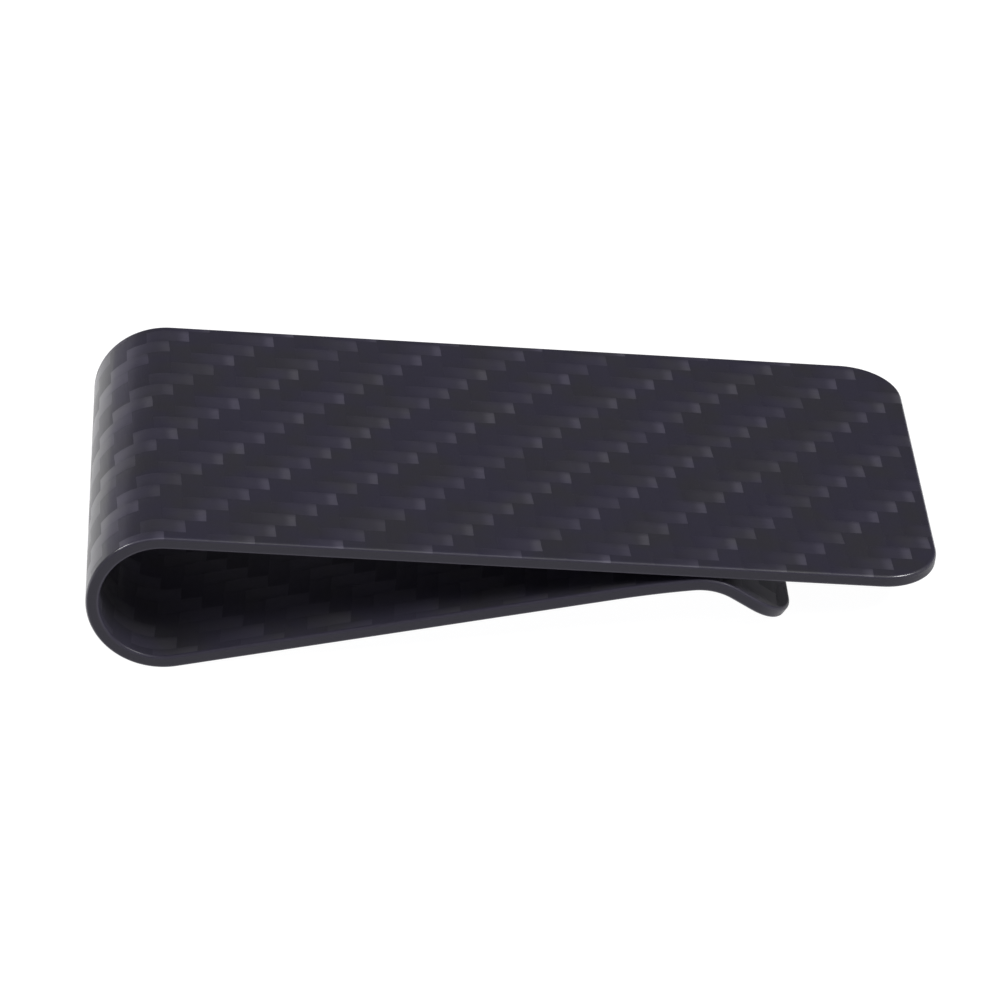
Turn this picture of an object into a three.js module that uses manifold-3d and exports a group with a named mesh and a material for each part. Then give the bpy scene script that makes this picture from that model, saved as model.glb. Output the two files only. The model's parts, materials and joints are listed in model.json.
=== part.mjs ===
// A money clip moulded from one strip of carbon-fibre laminate.
//
// The strip is a flat plate, a round bend that is its spring, and a leg that comes back
// under the plate, touches it at a crest and ends in a turned-down lip. The laminate is
// a stack of plies bonded by thin resin lines, and each ply is a solid of its own, in
// three lengths: over the plate, round the bend and along the leg. The leg turns about
// the centre of the bend when the clip is opened.
//
// The strip is drawn in its own frame: x runs along the plate from the centre of the bend,
// z is up from that centre, and y is across the width. Depth is measured into the laminate
// from its outside surface. The whole clip is then turned so that it stands on its bend
// and its lip, which is how it rests on a table.

import * as THREE from 'three';
import { mergeVertices } from 'three/addons/utils/BufferGeometryUtils.js';
import Module from 'manifold-3d';

const wasm = await Module();
wasm.setup();

// Driving dimensions, in millimetres and degrees.
const CLIP_WIDTH = 38;
const PLATE_LENGTH = 70; // centre of the bend to the free end
const PLATE_CORNER_RADIUS = 5.5;
const BEND_OUTER_RADIUS = 6.95;
const LEG_ANGLE = 13.8; // the leg closes towards the plate at this slope
const EASING_RADIUS = 95; // the long curve that eases the leg into the crest
const CREST_ANGLE = 9.5; // slope of the leg where the crest begins
const CREST_RADIUS = 6; // the tight curve over the crest
const CREST_GAP = 0.18; // between the crest and the plate, with nothing clipped
const LIP_ANGLE = 29.6; // the lip falls away from the plate at this slope
const LIP_LENGTH = 6.2;
const LIP_CORNER_RADIUS = 4;

const TWILL_PLY = 0.24; // woven cloth, on both faces
const CORE_PLY = 0.125; // straight tape, in between
const CORE_PLY_COUNT = 5;
const BOND_LINE = 0.02; // resin between two plies, and between two lengths of a ply
const EDGE_RADIUS = 0.3; // the cut edge is eased to this radius at both faces

// How finely curves are divided.
const BEND_SEGMENTS = 18;
const LEG_SEGMENTS = 7;
const CORNER_SEGMENTS = 5;

const COLOURS = { twill: 0x3a3942, core: 0x2a292e };

const radians = THREE.MathUtils.degToRad;

// The stack, from the outside surface inwards.
function stackPlies() {
  const kinds = [
    { name: 'outer_twill_ply', thickness: TWILL_PLY, colour: COLOURS.twill, roughness: 0.42 },
  ];
  for (let count = 1; count <= CORE_PLY_COUNT; count += 1) {
    kinds.push({
      name: `core_ply_${count}`,
      thickness: CORE_PLY,
      colour: COLOURS.core,
      roughness: 0.6,
    });
  }
  kinds.push({
    name: 'inner_twill_ply',
    thickness: TWILL_PLY,
    colour: COLOURS.twill,
    roughness: 0.5,
  });
  let depth = 0;
  return kinds.map((kind) => {
    const ply = { ...kind, near: depth, far: depth + kind.thickness };
    depth = ply.far + BOND_LINE;
    return ply;
  });
}

const plies = stackPlies();
const LAMINATE = plies[plies.length - 1].far;
const PLATE_UNDERSIDE = BEND_OUTER_RADIUS - LAMINATE;

// How far a ply stops short of the cut edge, where that edge is eased.
function edgeSetback(ply) {
  const middle = (ply.near + ply.far) / 2;
  const fromFace = Math.min(middle, LAMINATE - middle);
  const intoCurve = Math.max(0, EDGE_RADIUS - fromFace);
  return EDGE_RADIUS - Math.sqrt(EDGE_RADIUS ** 2 - intoCurve ** 2);
}

// Radius, at a depth, of a curve that bends away from the plate.
function outwardRadius(middleRadius, depth) {
  return middleRadius - LAMINATE / 2 + depth;
}

// Length of the straight run of leg that brings the crest just under the plate.
function straightLegLength() {
  const leg = radians(LEG_ANGLE);
  const crest = radians(CREST_ANGLE);
  const easing = outwardRadius(EASING_RADIUS, LAMINATE);
  const top = outwardRadius(CREST_RADIUS, LAMINATE);
  const start = -PLATE_UNDERSIDE * Math.cos(leg);
  const easingRise = easing * (Math.cos(crest) - Math.cos(leg));
  const crestRise = top * (1 - Math.cos(crest));
  const rise = PLATE_UNDERSIDE - CREST_GAP - start - easingRise - crestRise;
  return rise / Math.sin(leg);
}

// The corner points and curve centres of the leg, at a depth.
function legLine(depth) {
  const leg = radians(LEG_ANGLE);
  const crest = radians(CREST_ANGLE);
  const lip = radians(LIP_ANGLE);
  const bendRadius = BEND_OUTER_RADIUS - depth;
  const easingRadius = outwardRadius(EASING_RADIUS, depth);
  const crestRadius = outwardRadius(CREST_RADIUS, depth);
  const along = (angle, distance) =>
    new THREE.Vector2(Math.cos(angle), Math.sin(angle)).multiplyScalar(distance);
  const outward = (angle, distance) =>
    new THREE.Vector2(Math.sin(angle), -Math.cos(angle)).multiplyScalar(distance);
  const tangent = outward(leg, bendRadius);
  const start = tangent.clone().add(along(leg, BOND_LINE));
  const easingStart = tangent.clone().add(along(leg, straightLegLength()));
  const easingCentre = easingStart.clone().add(outward(leg, easingRadius));
  const crestStart = easingCentre.clone().sub(outward(crest, easingRadius));
  const crestCentre = crestStart.clone().add(outward(crest, crestRadius));
  const lipStart = crestCentre.clone().sub(outward(-lip, crestRadius));
  return { start, easingCentre, easingRadius, crestCentre, crestRadius, lipStart };
}

function lipEnd(depth, setback) {
  const lip = radians(LIP_ANGLE);
  const { lipStart } = legLine(depth);
  const reach = LIP_LENGTH - setback;
  return new THREE.Vector2(
    lipStart.x + reach * Math.cos(lip),
    lipStart.y - reach * Math.sin(lip),
  );
}

// Turns a profile drawn in x and z into a solid across the width.
function extrudeAcross(profile, width, curveSegments) {
  const geometry = new THREE.ExtrudeGeometry(profile, {
    depth: width,
    bevelEnabled: false,
    curveSegments,
  });
  geometry.translate(0, 0, -width / 2);
  geometry.rotateX(Math.PI / 2);
  return geometry;
}

// A strip outline, square at x = start and with round corners at x = end.
function roundedStrip(start, end, halfWidth, corner) {
  const outline = new THREE.Shape();
  outline.moveTo(start, -halfWidth);
  outline.lineTo(end - corner, -halfWidth);
  outline.absarc(end - corner, corner - halfWidth, corner, -Math.PI / 2, 0, false);
  outline.absarc(end - corner, halfWidth - corner, corner, 0, Math.PI / 2, false);
  outline.lineTo(start, halfWidth);
  outline.closePath();
  return outline;
}

function plateGeometry(ply) {
  const setback = edgeSetback(ply);
  const outline = roundedStrip(
    BOND_LINE,
    PLATE_LENGTH - setback,
    CLIP_WIDTH / 2 - setback,
    PLATE_CORNER_RADIUS - setback,
  );
  return new THREE.ExtrudeGeometry(outline, {
    depth: ply.thickness,
    bevelEnabled: false,
    curveSegments: CORNER_SEGMENTS,
  });
}

function bendGeometry(ply) {
  const top = Math.PI / 2;
  const bottom = 1.5 * Math.PI + radians(LEG_ANGLE);
  const profile = new THREE.Shape();
  profile.absarc(0, 0, BEND_OUTER_RADIUS - ply.near, top, bottom, false);
  profile.absarc(0, 0, BEND_OUTER_RADIUS - ply.far, bottom, top, true);
  profile.closePath();
  const width = CLIP_WIDTH - 2 * edgeSetback(ply);
  return extrudeAcross(profile, width, BEND_SEGMENTS);
}

// The leg's profile: out along the ply's outside surface, and back along its inside one.
function legProfile(ply) {
  const setback = edgeSetback(ply);
  const outside = legLine(ply.near);
  const inside = legLine(ply.far);
  const legTop = Math.PI / 2 + radians(LEG_ANGLE);
  const crestTop = Math.PI / 2 + radians(CREST_ANGLE);
  const lipTop = Math.PI / 2 - radians(LIP_ANGLE);
  const outsideEnd = lipEnd(ply.near, setback);
  const insideEnd = lipEnd(ply.far, setback);
  const profile = new THREE.Shape();
  profile.moveTo(outside.start.x, outside.start.y);
  const curve = (centre, radius, from, to) =>
    profile.absarc(centre.x, centre.y, radius, from, to, from > to);
  curve(outside.easingCentre, outside.easingRadius, legTop, crestTop);
  curve(outside.crestCentre, outside.crestRadius, crestTop, lipTop);
  profile.lineTo(outsideEnd.x, outsideEnd.y);
  profile.lineTo(insideEnd.x, insideEnd.y);
  curve(inside.crestCentre, inside.crestRadius, lipTop, crestTop);
  curve(inside.easingCentre, inside.easingRadius, crestTop, legTop);
  profile.lineTo(inside.start.x, inside.start.y);
  profile.closePath();
  return profile;
}

// A block with round corners at the lip's end, square to the lip. What is inside it stays.
function lipTrim(ply) {
  const setback = edgeSetback(ply);
  const size = 2 * (PLATE_LENGTH + CLIP_WIDTH);
  const outline = roundedStrip(
    -size,
    0,
    CLIP_WIDTH / 2 - setback,
    LIP_CORNER_RADIUS - setback,
  );
  const block = new THREE.ExtrudeGeometry(outline, {
    depth: size,
    bevelEnabled: false,
    curveSegments: CORNER_SEGMENTS,
  });
  const end = lipEnd(ply.near, setback);
  block.translate(0, 0, -size / 2);
  block.rotateY(radians(LIP_ANGLE));
  block.translate(end.x, 0, end.y);
  return block;
}

function toSolid(geometry) {
  const bare = geometry.clone();
  bare.deleteAttribute('normal');
  bare.deleteAttribute('uv');
  const merged = mergeVertices(bare);
  return new wasm.Manifold(
    new wasm.Mesh({
      numProp: 3,
      vertProperties: new Float32Array(merged.attributes.position.array),
      triVerts: new Uint32Array(merged.index.array),
    }),
  );
}

function fromSolid(solid) {
  const mesh = solid.getMesh();
  const geometry = new THREE.BufferGeometry();
  geometry.setAttribute('position', new THREE.BufferAttribute(mesh.vertProperties, 3));
  geometry.setIndex(new THREE.BufferAttribute(mesh.triVerts, 1));
  geometry.computeVertexNormals();
  return geometry;
}

function legGeometry(ply) {
  const strip = extrudeAcross(legProfile(ply), CLIP_WIDTH, LEG_SEGMENTS);
  return fromSolid(toSolid(strip).intersect(toSolid(lipTrim(ply))));
}

function plyMesh(length, ply, geometry) {
  const material = new THREE.MeshStandardMaterial({
    color: ply.colour,
    roughness: ply.roughness,
    metalness: 0,
  });
  const mesh = new THREE.Mesh(geometry, material);
  mesh.name = `${length}_${ply.name}`;
  return mesh;
}

function plateGroup() {
  const group = new THREE.Group();
  for (const ply of plies) {
    const mesh = plyMesh('plate', ply, plateGeometry(ply));
    mesh.position.z = BEND_OUTER_RADIUS - ply.far;
    group.add(mesh);
  }
  return group;
}

function bendGroup() {
  const group = new THREE.Group();
  for (const ply of plies) {
    group.add(plyMesh('bend', ply, bendGeometry(ply)));
  }
  return group;
}

function legGroup() {
  const group = new THREE.Group();
  for (const ply of plies) {
    group.add(plyMesh('leg', ply, legGeometry(ply)));
  }
  return group;
}

// The slope of a table that touches both the bend and the lip's outside corner.
function restingTilt() {
  const corner = lipEnd(0, 0);
  return corner.angle() + Math.asin(BEND_OUTER_RADIUS / corner.length());
}

const clip = new THREE.Group();
clip.add(plateGroup(), bendGroup(), legGroup());
clip.rotation.y = restingTilt();

// The origin is on the table, under the middle of the clip.
const extent = new THREE.Box3().setFromObject(clip, true);
clip.position.set(-(extent.min.x + extent.max.x) / 2, 0, -extent.min.z);

export default clip;
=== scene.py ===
# %% [markdown]
# # A money clip in carbon-fibre laminate
#
# The real clip is one moulded part. Plies of carbon cloth and tape are laid round a mould,
# cured, and cut to shape, so the clip is a flat plate, a round spring bend and a leg that
# presses against the plate. Everything that the eye sees is cloth: a 2x2 twill of black tows,
# each about 2 mm wide, under a thin matt coat.
#
# The lesson builds that skin round a fixed frame. The frame holds the sizes, so the shape is
# not set by eye. First comes the frame, then the line that the strip follows, then the
# cloth, and at the end the finishes, the light and the camera.

import json
import math

import bpy
import numpy as np
from mathutils import Matrix, Vector


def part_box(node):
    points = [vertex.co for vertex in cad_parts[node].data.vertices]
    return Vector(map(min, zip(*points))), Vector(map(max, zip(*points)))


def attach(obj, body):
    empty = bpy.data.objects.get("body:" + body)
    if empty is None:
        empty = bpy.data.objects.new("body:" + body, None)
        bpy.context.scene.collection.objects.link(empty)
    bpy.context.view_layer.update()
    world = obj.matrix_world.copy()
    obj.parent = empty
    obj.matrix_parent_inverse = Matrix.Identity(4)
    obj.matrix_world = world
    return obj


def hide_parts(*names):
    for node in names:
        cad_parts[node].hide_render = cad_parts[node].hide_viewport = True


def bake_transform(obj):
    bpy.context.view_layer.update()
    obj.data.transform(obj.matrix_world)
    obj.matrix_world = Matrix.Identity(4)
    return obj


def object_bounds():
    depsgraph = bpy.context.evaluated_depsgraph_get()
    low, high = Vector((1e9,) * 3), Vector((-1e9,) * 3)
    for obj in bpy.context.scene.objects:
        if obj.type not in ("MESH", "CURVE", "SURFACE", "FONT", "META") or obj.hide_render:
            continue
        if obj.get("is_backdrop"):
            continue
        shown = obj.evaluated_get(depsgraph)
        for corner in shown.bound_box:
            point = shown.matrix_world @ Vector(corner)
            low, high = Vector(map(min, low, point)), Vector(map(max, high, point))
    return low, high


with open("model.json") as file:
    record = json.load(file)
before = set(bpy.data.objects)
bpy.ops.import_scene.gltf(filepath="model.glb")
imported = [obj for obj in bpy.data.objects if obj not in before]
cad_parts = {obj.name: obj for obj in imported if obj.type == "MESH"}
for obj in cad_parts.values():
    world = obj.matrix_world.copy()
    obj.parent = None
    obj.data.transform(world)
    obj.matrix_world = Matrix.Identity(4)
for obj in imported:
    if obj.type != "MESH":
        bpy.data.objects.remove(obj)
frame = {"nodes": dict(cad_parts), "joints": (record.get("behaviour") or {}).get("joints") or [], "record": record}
frame_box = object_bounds()
print("solids in the frame:", len(frame["nodes"]))

# %% [markdown]
# ## The sizes of the strip
#
# The strip is easiest to describe in its own frame: x runs along the flat plate from the
# centre of the bend, and z is square to the plate. The clip rests on its bend and its lip, so
# the plate slopes a little, and that slope is read from the face that the frame marks on it.
# The bend's centre is the clip's hinge, and the two radii of the bend are the farthest and
# the nearest points of its plies from that hinge. Lengths here are in millimetres, because
# they are easier to read, and become metres only when a mesh is made.

# %% Read the sizes from the frame
MILLIMETRE = 0.001

hinge = Vector(frame["joints"][0]["pos_m"]) / MILLIMETRE
plate_up = frame["record"]["mounts"][0]["axis"]
slope = math.atan2(plate_up[0], plate_up[2])


def corners_of(solid):
    """The corner points of a solid of the frame, in the strip's own frame."""
    mesh = frame["nodes"][solid].data
    points = np.zeros(len(mesh.vertices) * 3)
    mesh.vertices.foreach_get("co", points)
    points = points.reshape(-1, 3) / MILLIMETRE - np.array(hinge)
    along = points[:, 0] * math.cos(slope) - points[:, 2] * math.sin(slope)
    above = points[:, 0] * math.sin(slope) + points[:, 2] * math.cos(slope)
    return np.stack([along, points[:, 1], above], 1)


skin = corners_of("bend_outer_twill_ply")
lining = corners_of("bend_inner_twill_ply")
OUTER_RADIUS = float(np.hypot(skin[:, 0], skin[:, 2]).max())
THICKNESS = OUTER_RADIUS - float(np.hypot(lining[:, 0], lining[:, 2]).min())
PLATE_LENGTH = float(corners_of("plate_core_ply_1")[:, 0].max())
WIDTH = float(np.ptp(corners_of("plate_core_ply_1")[:, 1]))
print(f"bend radius {OUTER_RADIUS:.3f}, laminate {THICKNESS:.3f}")
print(f"plate {PLATE_LENGTH:.2f} by {WIDTH:.2f}, slope {math.degrees(slope):.3f} degrees")

# %% [markdown]
# ## The line of the strip
#
# The outside face of the strip is a chain of straight runs and arcs. A chain like that is
# fixed by each link's length and its curvature, which is 1 over its radius: plus where the
# strip curls round towards its inside, minus where it curls the other way. Walking along the
# chain gives a point and the direction that the face looks, and every layer of the laminate
# is the same walk, some way under the face. That is how a layered strip stays exactly
# parallel to itself, with no fitting.
#
# The straight run of the leg is as long as it must be for the crest to come up just under the
# plate. Adding up how far each link climbs gives that length.

# %% Walk along the loop: bend, leg, crest and lip
LEG_ANGLE = math.radians(13.8)
CREST_ANGLE = math.radians(9.5)
LIP_ANGLE = math.radians(29.6)
CREST_GAP = 0.18
EASING_MIDDLE_RADIUS = 95
CREST_MIDDLE_RADIUS = 6
EASING_RADIUS = EASING_MIDDLE_RADIUS - THICKNESS / 2
CREST_RADIUS = CREST_MIDDLE_RADIUS - THICKNESS / 2
LIP_LENGTH = 6.2

plate_underside = OUTER_RADIUS - THICKNESS
easing_climb = math.cos(CREST_ANGLE) - math.cos(LEG_ANGLE)
easing_climb *= EASING_MIDDLE_RADIUS + THICKNESS / 2
crest_climb = (CREST_MIDDLE_RADIUS + THICKNESS / 2) * (1 - math.cos(CREST_ANGLE))
whole_climb = plate_underside * (1 + math.cos(LEG_ANGLE)) - CREST_GAP
LEG_STRAIGHT = (whole_climb - easing_climb - crest_climb) / math.sin(LEG_ANGLE)
print(f"straight run of the leg {LEG_STRAIGHT:.4f}")
BEND_TURN = math.pi + LEG_ANGLE
BEND_LENGTH = OUTER_RADIUS * BEND_TURN
LOOP = [
    (BEND_LENGTH, 1 / OUTER_RADIUS),
    (LEG_STRAIGHT, 0.0),
    (EASING_RADIUS * (LEG_ANGLE - CREST_ANGLE), -1 / EASING_RADIUS),
    (CREST_RADIUS * (CREST_ANGLE + LIP_ANGLE), -1 / CREST_RADIUS),
    (LIP_LENGTH, 0.0),
]
LOOP_LENGTH = sum(length for length, _ in LOOP)


def walk_plate(length):
    """Points on the plate's outside face, the way it looks, and how far it has turned."""
    still = np.zeros_like(length)
    point = np.stack([length, still + OUTER_RADIUS], 1)
    return point, still + math.pi / 2, still


def walk_loop(length):
    """The same for the bend and the leg, by the length walked from the end of the plate."""
    point = np.array([0.0, OUTER_RADIUS])
    facing = math.pi / 2
    places = np.zeros((len(length), 2))
    facings = np.zeros(len(length))
    walked = 0.0
    for number, (run, curvature) in enumerate(LOOP):
        last = number == len(LOOP) - 1
        here = (length >= walked - 1e-9) & ((length <= walked + run) | last)
        step = np.append(length[here] - walked, run)
        look = facing + curvature * step
        if curvature:
            outward = np.stack([np.cos(look), np.sin(look)], 1)
            centre = point - np.array([math.cos(facing), math.sin(facing)]) / curvature
            found = centre + outward / curvature
        else:
            ahead = np.array([-math.sin(facing), math.cos(facing)])
            found = point + step[:, None] * ahead
        places[here] = found[:-1]
        facings[here] = look[:-1]
        point, facing, walked = found[-1], look[-1], walked + run
    return places, facings, facings - math.pi / 2


def to_frame(places, across):
    """Points of the strip's own frame and their place across, as points of the row frame."""
    along, above = places[:, 0], places[:, 1]
    x = hinge.x + along * math.cos(slope) + above * math.sin(slope)
    z = hinge.z - along * math.sin(slope) + above * math.cos(slope)
    return np.stack([x, across, z], 1)


outside, _, _ = walk_loop(np.linspace(BEND_LENGTH, LOOP_LENGTH, 400))
leg_points = to_frame(outside, np.zeros(400))
leg_box = [np.array(corner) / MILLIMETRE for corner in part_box("leg_outer_twill_ply")]
print("leg's far end: walked", leg_points[:, 0].max().round(3), "frame", leg_box[1][0].round(3))
print("leg's lowest: walked", leg_points[:, 2].min().round(3), "frame", leg_box[0][2].round(3))

# %% [markdown]
# ## Stations and the rounded ends
#
# Each length of the strip is drawn as rows of points, called stations, with columns across the
# width. At the plate's free end and at the lip the plan corners are round. There the stations
# step round the corner by angle, and each one is narrower than the last, so the grid ends in a
# smooth rounded edge without a single triangle.
#
# The cut edges of the real clip are rubbed with fine paper, so each arris is a quarter circle.
# The same formula serves for that: `pulled_in` says how far the outline draws back at each
# depth under the face.

# %% Set out the stations
SPACING = 0.28
ARRIS_RADIUS = 0.3
PLATE_CORNER = 5.5
LIP_CORNER = 4.0
CORNER_STEPS = 22


def stations(start, stop, corner):
    """Lengths and corner angles of the stations from a seam to a free end or another seam."""
    straight_end = stop - corner
    count = max(2, math.ceil((straight_end - start) / SPACING))
    along = np.linspace(start, straight_end, count + 1)
    turn = np.zeros(count + 1)
    if corner:
        angles = np.linspace(0, math.pi / 2, CORNER_STEPS + 1)[1:]
        along = np.append(along, np.full(CORNER_STEPS, straight_end))
        turn = np.append(turn, angles)
    return along, turn


def pulled_in(depth):
    """How far the outline draws back at a depth, for the rounded arrises of both faces."""
    near = min(depth, THICKNESS - depth)
    short = max(ARRIS_RADIUS - near, 0.0)
    return ARRIS_RADIUS - math.sqrt(ARRIS_RADIUS**2 - short**2)


LENGTHS = {
    "plate": dict(walk=walk_plate, start=0.0, stop=PLATE_LENGTH, corner=PLATE_CORNER),
    "bend": dict(walk=walk_loop, start=0.0, stop=BEND_LENGTH, corner=0.0),
    "leg": dict(walk=walk_loop, start=BEND_LENGTH, stop=LOOP_LENGTH, corner=LIP_CORNER),
}
for name, run in LENGTHS.items():
    run["along"], run["turn"] = stations(run["start"], run["stop"], run["corner"])
    run["reach"] = run["stop"] if run["corner"] else math.inf
    print(name, "has", len(run["along"]), "stations")

# %% [markdown]
# ## The weave as a surface
#
# In a 2x2 twill each tow goes over two tows and under two, and each row is shifted by one from
# the row before, which draws the slanting ribs. The cloth is not flat: every float of a tow
# stands a few hundredths of a millimetre proud in its middle and dives under at its ends. The
# matt coat levels most of that, and about a hundredth is left.
#
# `float_of` finds, for a place counted in tows, which tow lies on top and how far along its
# float the place is. The same rule is used again in the material, so colour and shape agree.
# Cloth is never laid quite square: it lies a little askew, the first tow falls where the
# shifts say, and the tows spread by a twentieth where the cloth is pulled round the bend.

# %% Work out which tow is on top
TOW = 2.0
REPEAT = 4
SKEW = 0.055
SHIFT_ALONG = -0.35
SHIFT_ACROSS = 8.895
BEND_SPREAD = 0.05
RELIEF = 0.012
RELIEF_FADE = 0.7


def float_of(along, across):
    """For places in tows: whether a lengthwise tow is on top, and the place in its float."""
    a = along + SKEW * across + SHIFT_ALONG
    b = across + SHIFT_ACROSS
    column, row = np.floor(a), np.floor(b)
    lengthwise = np.mod(column - row, REPEAT) >= 2
    share_along = np.mod(a - row, REPEAT) / 2 - 1
    share_across = np.mod(b - column + 1, REPEAT) / 2
    share = np.where(lengthwise, share_along, share_across)
    side = np.where(lengthwise, b - row, a - column)
    return lengthwise, share, side


def hollow(along, across):
    """How deep the cloth's surface lies under its highest points, in millimetres."""
    _, share, side = float_of(along, across)
    crown = 1 - (2 * side - 1) ** 4
    arch = 1 - (2 * share - 1) ** 4
    return RELIEF * (1 - crown * arch)


sample = hollow(*np.meshgrid(np.linspace(0, 8, 161), np.linspace(0, 8, 161)))
print(f"relief from {sample.min():.4f} to {sample.max():.4f} mm, mean {sample.mean():.4f}")

# %% [markdown]
# ## One layer of one length, as a closed mesh
#
# A layer is a grid on its upper side, a grid on its lower side, and a wall round the edge that
# joins them. The wall follows the rounded arris in small steps of depth. numpy makes all the
# points at once, which is far quicker than adding them one by one.
#
# Two sets of surface coordinates go on the mesh. `weave` counts tows along the strip and
# across it, measured on the layer's own skin, so the cloth follows the curve of the bend.
# `cut edge` holds the way round the edge and the depth, in millimetres, for the ply lines.


# %% Place the points of one level
def layer_points(run, depth, columns, sink):
    """Points, facing angles and skin coordinates of one level of a layer."""
    inset = pulled_in(depth)
    corner = run["corner"]
    length = run["along"] + (corner - inset) * np.sin(run["turn"])
    half = WIDTH / 2 - corner + (corner - inset) * np.cos(run["turn"])
    line, facing, turned = run["walk"](length)
    sign = 1 if run["walk"] is walk_plate else -1
    skin_length = length - depth * turned
    if sign < 0:
        skin_length = skin_length - BEND_SPREAD * np.minimum(length, BEND_LENGTH)
    across = half[:, None] * columns[None, :]
    tows_along = np.broadcast_to((sign * skin_length / TOW)[:, None], across.shape)
    tows = np.stack([tows_along, across / TOW], 2)
    below = np.full(across.shape, depth)
    if sink:
        edge = np.minimum(half[:, None] - np.abs(across), run["reach"] - length[:, None])
        fade = np.clip(edge / RELIEF_FADE, 0, 1)
        below = below + sink * hollow(tows[..., 0], tows[..., 1]) * fade * fade * (3 - 2 * fade)
    outward = np.stack([np.cos(facing), np.sin(facing)], 1)
    places = line[:, None, :] - below[..., None] * outward[:, None, :]
    points = to_frame(places.reshape(-1, 2), across.ravel()).reshape(*across.shape, 3)
    return points, facing, tows


# %% [markdown]
# ## Shading directions from the shape itself
#
# A smooth mesh is shaded by a direction at each point. Blender guesses these directions from
# the faces nearby, and where two lengths meet it would guess two different ones and draw a
# seam that the real clip does not have. Here they are worked out from the strip's own arcs
# and the arris, so both sides of a seam agree.


# %% Set the shading directions
def turn_to_frame(facing):
    """Unit directions at an angle in the strip's own frame, turned to the row frame."""
    along, above = np.cos(facing), np.sin(facing)
    x = along * math.cos(slope) + above * math.sin(slope)
    z = -along * math.sin(slope) + above * math.cos(slope)
    return np.stack([x, np.zeros_like(x), z], -1)


def edge_shading(run, depth, facing, columns):
    """Shading directions round the edge of one level: out of the face, over to sideways."""
    near_face = depth < THICKNESS / 2
    near = depth if near_face else THICKNESS - depth
    rise = min(max((ARRIS_RADIUS - near) / ARRIS_RADIUS, 0.0), 1.0)
    out = math.sqrt(1 - rise * rise)
    up = turn_to_frame(facing)[:, None, :] * (rise if near_face else -rise)
    ahead = turn_to_frame(facing + math.pi / 2 * (-1 if run["walk"] is walk_plate else 1))
    sideways = np.zeros((len(facing), len(columns), 3))
    sideways[:, 0, 1], sideways[:, -1, 1] = -1, 1
    sideways *= np.cos(run["turn"])[:, None, None]
    sideways += ahead[:, None, :] * np.sin(run["turn"])[:, None, None]
    return up + out * sideways


def smooth_shading(points, inward):
    """Shading directions of a grid from the slopes between its points."""
    down = np.gradient(points, axis=0)
    over = np.gradient(points, axis=1)
    direction = np.cross(down, over)
    direction /= np.linalg.norm(direction, axis=2, keepdims=True)
    return direction * inward


def face_shading(run, level, facing, around, side):
    """Shading directions of a whole face; side is 1 for the upper face, -1 for the lower."""
    inward = side if run["walk"] is walk_plate else -side
    face = smooth_shading(level, inward)
    face[0] = turn_to_frame(facing[:1]) * side
    face[:, 0], face[:, -1] = around[:, 0], around[:, -1]
    face[-1] = around[-1]
    return face


# %% [markdown]
# ## From levels to a mesh
#
# The first and the last level are whole faces, and the levels between them only their rims.
# The wall joins each rim to the next one with a ring of four-sided faces. The loop of the
# strip is walked the other way round from the plate, so its faces are flipped to look out.


# %% Gather the levels
def gather_levels(run, levels, columns, loop, sink):
    """Points, shading directions and skin coordinates, one array of each for every level."""
    points, shading, tows = [], [], []
    for place, depth in enumerate(levels):
        side = 1 if place == 0 else -1 if place == len(levels) - 1 else 0
        lift = {1: sink[0], -1: -sink[1], 0: 0}[side]
        level, facing, level_tows = layer_points(run, depth, columns, lift)
        look = around = edge_shading(run, depth, facing, columns)
        if side:
            look = face_shading(run, level, facing, around, side)
        kept = slice(None) if side else loop
        points.append(level.reshape(-1, 3)[kept])
        shading.append(look.reshape(-1, 3)[kept])
        tows.append(level_tows.reshape(-1, 2)[kept])
    return points, shading, tows


# %% Join the levels with faces
def join_levels(points, levels, index, loop, flipped):
    """The faces of a layer, the way and depth at their corners, and how many lie flat."""
    rim = points[0][loop]
    way = np.concatenate([[0], np.cumsum(np.linalg.norm(np.diff(rim, axis=0), axis=1))])
    starts = np.cumsum([0] + [len(p) for p in points])
    rims = [loop + starts[0]]
    rims += [np.arange(len(loop)) + starts[k] for k in range(1, len(levels) - 1)]
    rims += [loop + starts[len(levels) - 1]]
    corners = [index[:-1, :-1], index[1:, :-1], index[1:, 1:], index[:-1, 1:]]
    grid = np.stack(corners, -1).reshape(-1, 4)
    faces = [grid, grid[:, ::-1] + starts[len(levels) - 1]]
    wall_way, wall_depth = [], []
    for upper, lower, top, bottom in zip(rims[:-1], rims[1:], levels[:-1], levels[1:]):
        faces.append(np.stack([upper, lower, np.roll(lower, -1), np.roll(upper, -1)], 1))
        end_way = np.append(way[1:], way[-1])
        wall_way.append(np.stack([way, way, end_way, end_way], 1))
        wall_depth.append(np.broadcast_to([top, bottom, bottom, top], (len(loop), 4)))
    faces = np.concatenate(faces)
    walls = np.stack([np.concatenate(wall_way), np.concatenate(wall_depth)], -1)
    if flipped:
        faces, walls = faces[:, ::-1], walls[:, ::-1]
    grid_count = 2 * len(grid)
    way_map = np.zeros((len(faces), 4, 2))
    way_map[grid_count:] = walls
    return faces, way_map, grid_count


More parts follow.
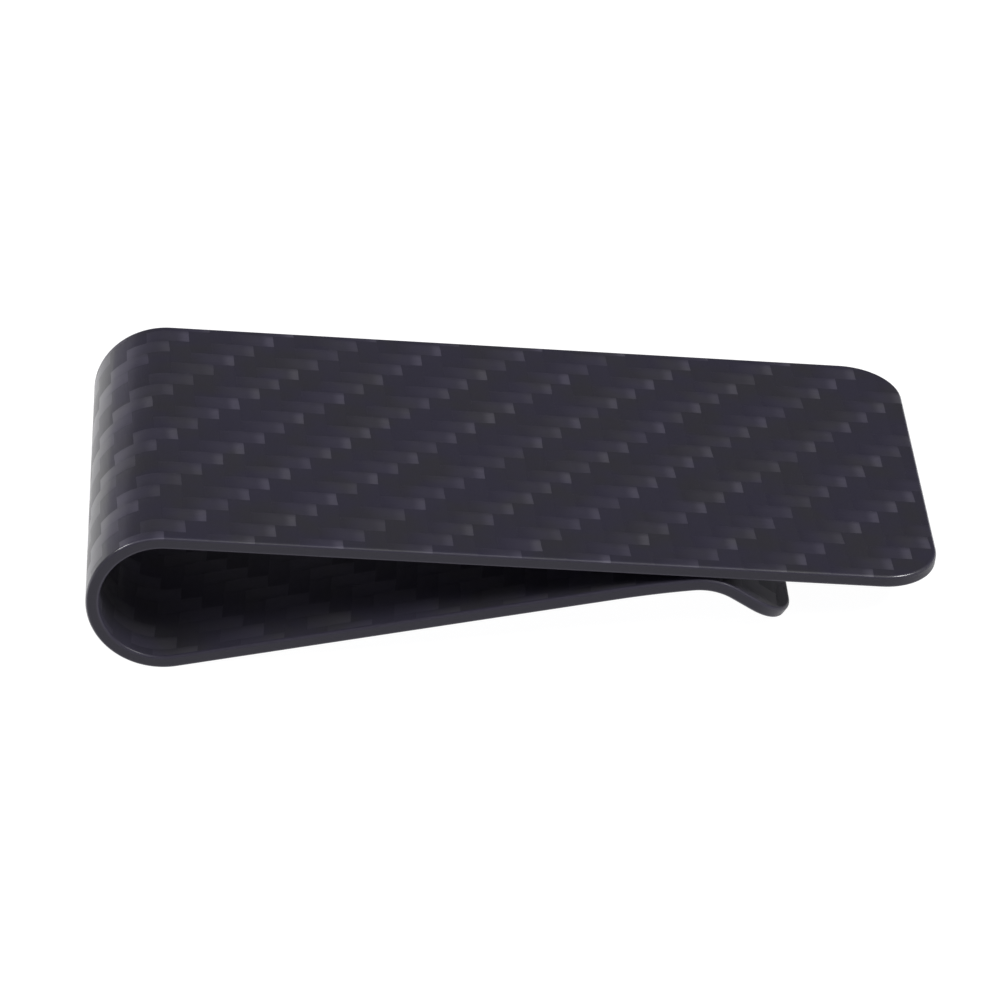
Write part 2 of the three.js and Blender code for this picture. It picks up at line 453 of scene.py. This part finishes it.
# %% Make the mesh of a layer
def build_layer(name, run, levels, column_count, sink):
    """A closed mesh object, its counts of flat and wall faces, and each wall face's level."""
    columns = np.linspace(-1, 1, column_count)
    rows = len(run["along"])
    index = np.arange(rows * column_count).reshape(rows, column_count)
    loop = np.concatenate([index[:-1, 0], index[-1, :-1], index[:0:-1, -1], index[0, :0:-1]])
    points, shading, tows = gather_levels(run, levels, columns, loop, sink)
    flipped = run["walk"] is walk_loop
    faces, way_map, grid_count = join_levels(points, levels, index, loop, flipped)
    mesh = bpy.data.meshes.new(name)
    mesh.from_pydata(np.concatenate(points) * MILLIMETRE, [], faces.tolist())
    tow_map = np.concatenate(tows)[faces.ravel()]
    mesh.uv_layers.new(name="weave").uv.foreach_set("vector", tow_map.astype(np.float32).ravel())
    mesh.uv_layers.new(name="cut edge").uv.foreach_set("vector", way_map.astype(np.float32).ravel())
    mesh.shade_smooth()
    mesh.normals_split_custom_set_from_vertices(np.concatenate(shading))
    piece = bpy.data.objects.new(name, mesh)
    bpy.context.scene.collection.objects.link(piece)
    wall_count = len(faces) - grid_count
    level_of = np.repeat(np.arange(len(levels) - 1), len(loop))
    return piece, grid_count, wall_count, level_of


print("a layer can be built")

# %% [markdown]
# ## The finishes
#
# A material is a small sum worked out at every spot of the surface. Written with bare nodes
# such sums are hard to read, so `Gauge` wraps one number of the sum and lets the usual signs
# stand for the Math nodes: `a + b`, `a * 0.5`, `a % 4`.

# %% A number that can be added and multiplied in a material
class Gauge:
    """One number that a finish works out at each spot of the surface."""

    def __init__(self, tree, socket):
        self.tree, self.socket = tree, socket

    def with_others(self, operation, *others, first=None):
        node = self.tree.nodes.new("ShaderNodeMath")
        node.operation = operation
        terms = [self, *others] if first is None else [first, self, *others]
        for slot, term in zip(node.inputs, terms):
            if isinstance(term, Gauge):
                self.tree.links.new(term.socket, slot)
            else:
                slot.default_value = term
        return Gauge(self.tree, node.outputs[0])

    def __add__(self, other):
        return self.with_others("ADD", other)

    def __sub__(self, other):
        return self.with_others("SUBTRACT", other)

    def __rsub__(self, other):
        return self.with_others("SUBTRACT", first=other)

    def __mul__(self, other):
        return self.with_others("MULTIPLY", other)

    def __mod__(self, other):
        return self.with_others("FLOORED_MODULO", other)

    def __pow__(self, other):
        return self.with_others("POWER", other)

    def floor(self):
        return self.with_others("FLOOR")

    def above(self, other):
        return self.with_others("GREATER_THAN", other)

    def clamped(self):
        low = self.with_others("MAXIMUM", 0.0)
        return low.with_others("MINIMUM", 1.0)

    def between(self, low, high):
        """0 at low, 1 at high, with soft ends."""
        node = self.tree.nodes.new("ShaderNodeMapRange")
        node.interpolation_type = "SMOOTHSTEP"
        self.tree.links.new(self.socket, node.inputs["Value"])
        node.inputs["From Min"].default_value = low
        node.inputs["From Max"].default_value = high
        return Gauge(self.tree, node.outputs["Result"])

    def choose(self, when_one, when_zero):
        """when_one where this number is 1, when_zero where it is 0."""
        return (when_one - when_zero) * self + when_zero


# %% Helpers for the finishes
def new_finish(name):
    """An empty material with its surface shader, and the tree that holds its sums."""
    material = bpy.data.materials.new(name)
    material.use_nodes = True
    tree = material.node_tree
    return material, tree, tree.nodes["Principled BSDF"]


def skin_coordinates(tree, name):
    """The two surface coordinates of that name, as numbers."""
    source = tree.nodes.new("ShaderNodeUVMap")
    source.uv_map = name
    split = tree.nodes.new("ShaderNodeSeparateXYZ")
    tree.links.new(source.outputs["UV"], split.inputs[0])
    return Gauge(tree, split.outputs[0]), Gauge(tree, split.outputs[1])


def place_of(tree, *terms):
    """A place in space from three numbers, for a noise or a dice to be read at."""
    place = tree.nodes.new("ShaderNodeCombineXYZ")
    for slot, term in zip(place.inputs, terms):
        if isinstance(term, Gauge):
            tree.links.new(term.socket, slot)
        else:
            slot.default_value = term
    return place.outputs[0]


def noise_at(tree, x, y, z, detail=2.0, scale=1.0):
    """Soft noise, 0 to 1, at a place given by three numbers."""
    noise = tree.nodes.new("ShaderNodeTexNoise")
    noise.inputs["Scale"].default_value = scale
    noise.inputs["Detail"].default_value = detail
    tree.links.new(place_of(tree, x, y, z), noise.inputs["Vector"])
    return Gauge(tree, noise.outputs["Fac"])


def chance_at(tree, x, y, z):
    """A random number from 0 to 1 that is the same for the same three whole numbers."""
    dice = tree.nodes.new("ShaderNodeTexWhiteNoise")
    dice.noise_dimensions = "3D"
    tree.links.new(place_of(tree, x, y, z), dice.inputs["Vector"])
    return Gauge(tree, dice.outputs["Value"])


def mixed(tree, share, low, high):
    """The colour low where share is 0, high where it is 1."""
    blend = tree.nodes.new("ShaderNodeMix")
    blend.data_type = "RGBA"
    tree.links.new(share.socket, blend.inputs["Factor"])
    for slot, colour in ((blend.inputs["A"], low), (blend.inputs["B"], high)):
        if isinstance(colour, tuple):
            slot.default_value = (*colour, 1)
        else:
            tree.links.new(colour, slot)
    return blend.outputs["Result"]


def raise_bumps(tree, shader, height, distance):
    """Turns a height, 0 to 1, into small slopes of the surface."""
    bump = tree.nodes.new("ShaderNodeBump")
    bump.inputs["Distance"].default_value = distance
    bump.inputs["Strength"].default_value = 1.0
    tree.links.new(height.socket, bump.inputs["Height"])
    tree.links.new(bump.outputs[0], shader.inputs["Normal"])


print("the sums are ready")

# %% [markdown]
# ## The twill
#
# Carbon tows look black, but each lies in its own direction, so it catches the light in its
# own way. Here that sheen is painted into the colour as a painted highlight: along the strip the
# floats begin dark, brighten towards their far end and stop at a sharp front, where the next tow
# dives over them. The floats across the strip stay dark. Every float is a touch different, fine
# fibres streak along each tow, and the cloth is never laid quite straight, so slow noise bends
# the grid. Round the bend the tows lean away from the light, so from there on the painted
# highlight fades towards the float's far end instead.


# %% Find the place in a float
CLOTH_DRIFT = 0.22
CLOTH_SWAY = 0.18


def place_in_float(tree):
    """Where a spot is in the cloth: its float, its place in it, its luck and its fibres."""
    along, across = skin_coordinates(tree, "weave")
    drift = noise_at(tree, along, across, 3.0, scale=0.35) - 0.5
    sway = noise_at(tree, along, across, 9.0, scale=0.35) - 0.5
    a = along + across * SKEW + SHIFT_ALONG + drift * CLOTH_DRIFT
    b = across + SHIFT_ACROSS + sway * CLOTH_SWAY
    column, row = a.floor(), b.floor()
    lengthwise = ((column - row) % REPEAT).above(1.5)
    share = lengthwise.choose((a - row) % REPEAT, (b - column + 1.0) % REPEAT) * 0.5
    share = share - lengthwise
    side = lengthwise.choose(b - row, a - column)
    turn_of_float = lengthwise.choose((a - row) * 0.25, (b - column + 1.0) * 0.25).floor()
    luck = chance_at(tree, lengthwise.choose(row, column), turn_of_float, lengthwise)
    fibre_length = lengthwise.choose(a, b)
    fibre_side = lengthwise.choose(b, a)
    fibres = noise_at(tree, fibre_length * 0.7, fibre_side * 13.0, lengthwise, detail=3.0)
    return along, across, lengthwise, share, side, luck, fibres


print("cloth wanders by up to", CLOTH_DRIFT / 2, "and", CLOTH_SWAY / 2, "tows")


# %% Work out how far a float stands out
def painted_float_highlight(along, lengthwise, share, side, luck, fibres):
    """How strong the painted highlight of the float at a spot is, 0 to 1."""
    # Painted highlight in the colour: on the plate a float brightens towards its far end, from the bend on it
    # fades towards it.
    far_end = share.between(0.68, 0.95) * (luck * 1.1 + 0.3)
    rising = share.between(-0.2, 0.7) * 0.30 + far_end * 0.66
    falling = (1.0 - share.between(0.0, 1.0)) * 0.5 + 0.45
    glow = along.between(-2.4, -0.6).choose(rising, falling * (luck * 0.5 + 0.75))
    far_side = 1.0 - side.between(0.62, 1.05) * 0.65
    return lengthwise * glow * far_side * (fibres * 0.7 + 0.65)


# %% Colour the cloth
SHADES = {
    "cool dark": (0.0155, 0.0135, 0.0270),
    "cool pale": (0.0210, 0.0183, 0.0350),
    "olive dark": (0.0158, 0.0146, 0.0195),
    "olive pale": (0.0213, 0.0199, 0.0258),
    # Paler shades for the painted highlight of the floats.
    "cool painted highlight": (0.0640, 0.0590, 0.0850),
    "olive painted highlight": (0.0660, 0.0635, 0.0740),
}
SEAM_DEPTH = 0.3


def cloth_colour(tree, along, across, side, luck, fibres, painted_highlight, tone):
    """Cool grey cloth with olive patches, painted paler where a float has its painted highlight, darker between
    tows.
    """
    shade = {key: tuple(part * tone for part in colour) for key, colour in SHADES.items()}
    dark = luck * 0.3 + fibres * 0.5
    seam = side.between(0.0, 0.05) * (1.0 - side.between(0.95, 1.0))
    warm = noise_at(tree, along, across, 21.0, scale=0.45).between(0.35, 0.7)
    cool = mixed(tree, dark, shade["cool dark"], shade["cool pale"])
    olive = mixed(tree, dark, shade["olive dark"], shade["olive pale"])
    ground = mixed(tree, warm, cool, olive)
    # Painted highlight: where a float's painted highlight is strong, the cloth turns to these paler shades.
    lit = mixed(tree, warm, shade["cool painted highlight"], shade["olive painted highlight"])
    cloth = mixed(tree, painted_highlight.clamped(), ground, lit)
    return mixed(tree, seam * SEAM_DEPTH + (1 - SEAM_DEPTH), shade["cool dark"], cloth)


print("shades of the cloth:", ", ".join(SHADES))

# %% Mix the twill finishes
BUMP_HEIGHT = 0.00004


def twill_finish(name, strength, tone, roughness, coat):
    """Woven cloth under resin; strength is how far floats stand out, in painted highlight and in gloss, tone how
    pale it is.
    """
    material, tree, shader = new_finish(name)
    along, across, lengthwise, share, side, luck, fibres = place_in_float(tree)
    painted_highlight = painted_float_highlight(along, lengthwise, share, side, luck, fibres) * strength
    colour = cloth_colour(tree, along, across, side, luck, fibres, painted_highlight, tone)
    tree.links.new(colour, shader.inputs["Base Color"])
    matt = fibres * 0.12 - lengthwise * (0.14 * strength) + (roughness + 0.02)
    tree.links.new(matt.socket, shader.inputs["Roughness"])
    arch = 1.0 - (share * 2.0 - 1.0) ** 2.0
    crown = 1.0 - (side * 2.0 - 1.0) ** 4.0
    height = arch * 0.55 + crown * 0.30 + fibres * 0.15
    raise_bumps(tree, shader, height, BUMP_HEIGHT)
    shader.inputs["IOR"].default_value = 1.5
    shader.inputs["Specular IOR Level"].default_value = 0.5
    shader.inputs["Coat Weight"].default_value = coat
    shader.inputs["Coat Roughness"].default_value = 0.18
    shader.inputs["Coat IOR"].default_value = 1.5
    return material


outer_twill = twill_finish("outer twill", strength=1.0, tone=1.0, roughness=0.5, coat=0.4)
# The arris twill has a glossier coat and is painted paler (tone 1.25): a painted highlight along the rounded
# arris.
glossy_arris_painted_highlight = twill_finish("glossy arris, painted highlight", strength=0.8, tone=1.25, roughness=0.42, coat=1.0)
inner_twill = twill_finish("inner twill", strength=0.4, tone=1.1, roughness=0.62, coat=0.1)
print("twill materials:", outer_twill.name, glossy_arris_painted_highlight.name, inner_twill.name)

# %% [markdown]
# ## The cut edge
#
# A cutter leaves the plies showing as fine lines, and rubbing with wet paper turns them into a
# smooth charcoal face. Depth is known on the mesh, so the lines are drawn where the plies
# really meet. Along each arris the face is painted paler, a painted highlight of the rounded arris.

# %% Mix the cut-edge finish
FACE_PLY = 0.24
CORE_PITCH = 0.145
CORE_PLIES = 5


def cut_edge_finish():
    """Sanded laminate, with a faint line at every ply."""
    material, tree, shader = new_finish("cut edge")
    way, depth = skin_coordinates(tree, "cut edge")
    wander = noise_at(tree, way, 0.0, 5.0, scale=0.25) - 0.5
    level = depth + wander * 0.03
    ply = ((level - FACE_PLY) * (1 / CORE_PITCH)) % 1.0
    line = (1.0 - ply.between(0.0, 0.16)) + ply.between(0.84, 1.0)
    under_outer = level.between(FACE_PLY - 0.01, FACE_PLY + 0.01)
    inner_line = THICKNESS - FACE_PLY
    over_inner = 1.0 - level.between(inner_line - 0.01, inner_line + 0.01)
    in_core = under_outer * over_inner
    rub = noise_at(tree, way, depth * 9.0, 2.0, detail=4.0, scale=1.6)
    fine = noise_at(tree, way * 14.0, depth * 60.0, 8.0, detail=2.0)
    tone = rub * 0.6 + fine * 0.4
    face = mixed(tree, tone, (0.0095, 0.0080, 0.0165), (0.0155, 0.0133, 0.0258))
    resin = mixed(tree, line * in_core * 0.35, face, (0.0090, 0.0085, 0.0120))
    # Painted highlight: the face is painted paler in a band along each arris, broken up by the rub noise.
    arris_highlight = (1.0 - depth.between(0.12, 0.34)) + depth.between(THICKNESS - 0.34, THICKNESS - 0.12)
    pale = mixed(tree, arris_highlight * (rub * 0.5 + 0.3), resin, (0.044, 0.040, 0.060))
    tree.links.new(pale, shader.inputs["Base Color"])
    tree.links.new((rub * 0.15 + 0.38).socket, shader.inputs["Roughness"])
    raise_bumps(tree, shader, fine * 0.5 + line * in_core * -0.5, 0.000012)
    shader.inputs["IOR"].default_value = 1.5
    shader.inputs["Specular IOR Level"].default_value = 0.3
    shader.inputs["Coat Weight"].default_value = 0.1
    shader.inputs["Coat Roughness"].default_value = 0.2
    return material


cut_edge = cut_edge_finish()
print("cut edge material:", cut_edge.name)

# %% [markdown]
# ## The three layers of the laminate
#
# The outer cloth carries the outer arris, the core is a plain band, and the inner cloth lines
# the inside. Each one is made in the three lengths of the frame, because the plate can swing:
# the leg's length stays on the leg, the plate's length swings with the plate, and the bend's
# length stays where it is made, though the real spring blends from one to the other.

# %% Say what each layer is made of
CORE_TOP = FACE_PLY + 0.01
CLOTH_ON_ARRIS = math.radians(62)


def arris_levels(last):
    """Depths down the rounded arris, in even steps of angle, to the cloth's own depth."""
    angles = np.linspace(0, math.acos(1 - last / ARRIS_RADIUS), 8)
    return ARRIS_RADIUS * (1 - np.cos(angles))


outer_levels = arris_levels(CORE_TOP)
inner_levels = THICKNESS - outer_levels[::-1]
core_levels = np.array([CORE_TOP, 0.275, 0.3, 0.45, THICKNESS / 2])
core_levels = np.append(core_levels, THICKNESS - core_levels[-2::-1])
LAYERS = {
    "outer_cloth": dict(
        levels=outer_levels,
        sink=(1, 0),
        finish=outer_twill,
        slot="outer_twill",
        plies=["outer_twill_ply"],
    ),
    "core": dict(
        levels=core_levels,
        sink=(0, 0),
        finish=cut_edge,
        slot="core_laminate",
        plies=[f"core_ply_{number}" for number in range(1, CORE_PLIES + 1)],
    ),
    "inner_cloth": dict(
        levels=inner_levels,
        sink=(0, 1),
        finish=inner_twill,
        slot="inner_twill",
        plies=["inner_twill_ply"],
    ),
}
print("levels of each layer:", [len(layer["levels"]) for layer in LAYERS.values()])

# %% [markdown]
# ## Which finish goes where
#
# On the outer cloth the twill runs on over the rounded arris as far as the cloth reaches, there
# in a glossier copy that is painted paler, a painted highlight, and the rest of the rim is bare
# cut edge. The inner cloth's rim is bare all round. The faces of a rim carry the number of their
# finish, because a piece can hold several.


# %% Give a cloth its finishes, and lay every length
def finish_rim(piece, layer_name, levels, grid_count, wall_count, level_of):
    """Puts the rim's finishes on a cloth whose first finish is its face."""
    finish_of = np.zeros(grid_count + wall_count, np.int32)
    finish_of[grid_count:] = 1
    if layer_name == "outer_cloth":
        piece.data.materials.append(glossy_arris_painted_highlight)
        middle = (levels[:-1] + levels[1:]) / 2
        bare = middle > ARRIS_RADIUS * (1 - math.cos(CLOTH_ON_ARRIS))
        finish_of[grid_count:] += bare[level_of]
    piece.data.materials.append(cut_edge)
    piece.data.polygons.foreach_set("material_index", finish_of)


CLOTH_COLUMNS = math.ceil(WIDTH / SPACING) + 1
CORE_COLUMNS = 9

pieces = {}
for layer_name, layer in LAYERS.items():
    for run_name, run in LENGTHS.items():
        name = f"{run_name}_{layer_name}"
        columns = CORE_COLUMNS if layer_name == "core" else CLOTH_COLUMNS
        piece, *rim = build_layer(name, run, layer["levels"], columns, layer["sink"])
        piece.data.materials.append(layer["finish"])
        if layer_name != "core":
            finish_rim(piece, layer_name, layer["levels"], *rim)
        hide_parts(*[f"{run_name}_{ply}" for ply in layer["plies"]])
        pieces[name] = piece
        print(name, len(piece.data.polygons), "faces")

# %% [markdown]
# ## Ride on the bodies
#
# The plate and the leg are stiff, so their pieces ride on their own body. A piece of the bend
# rides on neither: its points are baked where they stand, though the real spring follows the leg
# at one end, the plate at the other, and both in between.

# %% Put the pieces on their bodies
inner_radius = OUTER_RADIUS - THICKNESS
bend_start = to_frame(np.array([[0.0, inner_radius]]), np.zeros(1))[0] * MILLIMETRE
leg_side = inner_radius * np.array([[math.sin(LEG_ANGLE), -math.cos(LEG_ANGLE)]])
bend_end = to_frame(leg_side, np.zeros(1))[0] * MILLIMETRE
for name, piece in pieces.items():
    if name.startswith("bend"):
        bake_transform(piece)
    else:
        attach(piece, name.split("_")[0])
print("pieces that blend:", [name for name in pieces if name.startswith("bend")])

# %% [markdown]
# ## Floor and light
#
# Small black things are shown on a bright white table with broad lights. Their flat faces
# stay dark because they mirror a dim room, and the lamps stand where the flat top doesn't
# mirror them. The floor here is white and wide, so the round bend mirrors it at its rim, and
# it glows a little, which leaves no shadow.

# %% Lay the floor
FLOOR_SIZE = 4.0
bpy.ops.mesh.primitive_plane_add(size=FLOOR_SIZE, location=(0, 0, 0))
floor = bpy.context.object
floor.name = "floor"
floor_material, _, floor_shader = new_finish("pale floor")
floor_shader.inputs["Base Color"].default_value = (0.2, 0.2, 0.2, 1)
floor_shader.inputs["Roughness"].default_value = 0.9
floor_shader.inputs["Specular IOR Level"].default_value = 0.1
floor_shader.inputs["Emission Color"].default_value = (1, 1, 1, 1)
floor_shader.inputs["Emission Strength"].default_value = 0.97
floor.data.materials.append(floor_material)
floor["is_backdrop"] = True

# %% Hang the lamps
world = bpy.data.worlds.new("room")
bpy.context.scene.world = world
world.use_nodes = True
world.node_tree.nodes["Background"].inputs["Color"].default_value = (0.85, 0.82, 1.0, 1)
world.node_tree.nodes["Background"].inputs["Strength"].default_value = 0.12


def lamp(name, place, aim, size, power, colour=(1, 1, 1)):
    """A soft square lamp at a place, in metres, looking at a point."""
    light = bpy.data.lights.new(name, "AREA")
    light.shape = "RECTANGLE"
    light.size, light.size_y = size
    light.energy = power
    light.color = colour
    holder = bpy.data.objects.new(name, light)
    holder.location = place
    holder.rotation_euler = (Vector(aim) - Vector(place)).to_track_quat("-Z", "Y").to_euler()
    bpy.context.scene.collection.objects.link(holder)
    return holder


middle = (0.0, 0.0, 0.006)
lamp("right softbox", (0.75, -0.26, 0.82), middle, (0.46, 0.30), 8.4)
lamp("left softbox", (-0.80, -0.10, 0.80), middle, (0.30, 0.30), 3.4)
lamp("left wall", (-0.50, 1.10, 0.21), middle, (1.6, 0.40), 1.0, (0.86, 0.82, 1.0))
lamp("front fill", (0.15, -1.1, 0.5), middle, (0.9, 0.5), 1.1, (0.90, 0.86, 1.0))
lamp("overhead strip", (0.0, -0.50, 0.85), middle, (1.0, 0.25), 0.9)
print("lamps:", len(bpy.data.lights))

# %% [markdown]
# ## Camera and picture
#
# The camera looks down at about thirty degrees with a long lens, as in a catalogue, so that
# the near and far edges of the plate stay almost parallel. It is placed by its angles and its
# distance from a point inside the clip. The plain "Standard" picture keeps the white table
# white and the black cloth black.

# %% Place the camera
VIEW_AZIMUTH = math.radians(-1.315)
VIEW_ELEVATION = math.radians(31.862)
VIEW_ROLL = math.radians(-2.698)
VIEW_DISTANCE = 0.46086
VIEW_TARGET = Vector((-0.000573, -0.001909, 0.005108))
LENS = 178.328

level = math.cos(VIEW_ELEVATION)
back_x, back_y = math.sin(VIEW_AZIMUTH) * level, -math.cos(VIEW_AZIMUTH) * level
back = Vector((back_x, back_y, math.sin(VIEW_ELEVATION)))
right = Vector((math.cos(VIEW_AZIMUTH), math.sin(VIEW_AZIMUTH), 0))
up = back.cross(right)
rolled_right = right * math.cos(VIEW_ROLL) + up * math.sin(VIEW_ROLL)
rolled_up = back.cross(rolled_right)
place = VIEW_TARGET + back * VIEW_DISTANCE
camera = bpy.data.objects.new("camera", bpy.data.cameras.new("camera"))
camera.data.lens = LENS
camera.data.sensor_width = 36
camera.data.clip_start = 0.01
camera.data.clip_end = 20
turned = Matrix((rolled_right, rolled_up, back)).transposed().to_4x4()
camera.matrix_world = Matrix.Translation(place) @ turned
bpy.context.scene.collection.objects.link(camera)
bpy.context.scene.camera = camera
bpy.context.scene.view_settings.view_transform = "Standard"
print("camera", [round(v, 4) for v in place])

# %% [markdown]
# ## The size of the looks and of the frame
#
# The looks must stay within the sizes of the frame, so the sizes of both boxes are printed and
# can be compared.

# %% Print the sizes of the two boxes and finish
visual_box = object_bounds()
boxes = {
    "frame": [list(corner) for corner in frame_box],
    "visual": [list(corner) for corner in visual_box],
}
for key, (low, high) in boxes.items():
    print(key, [round((b - a) / MILLIMETRE, 3) for a, b in zip(low, high)])
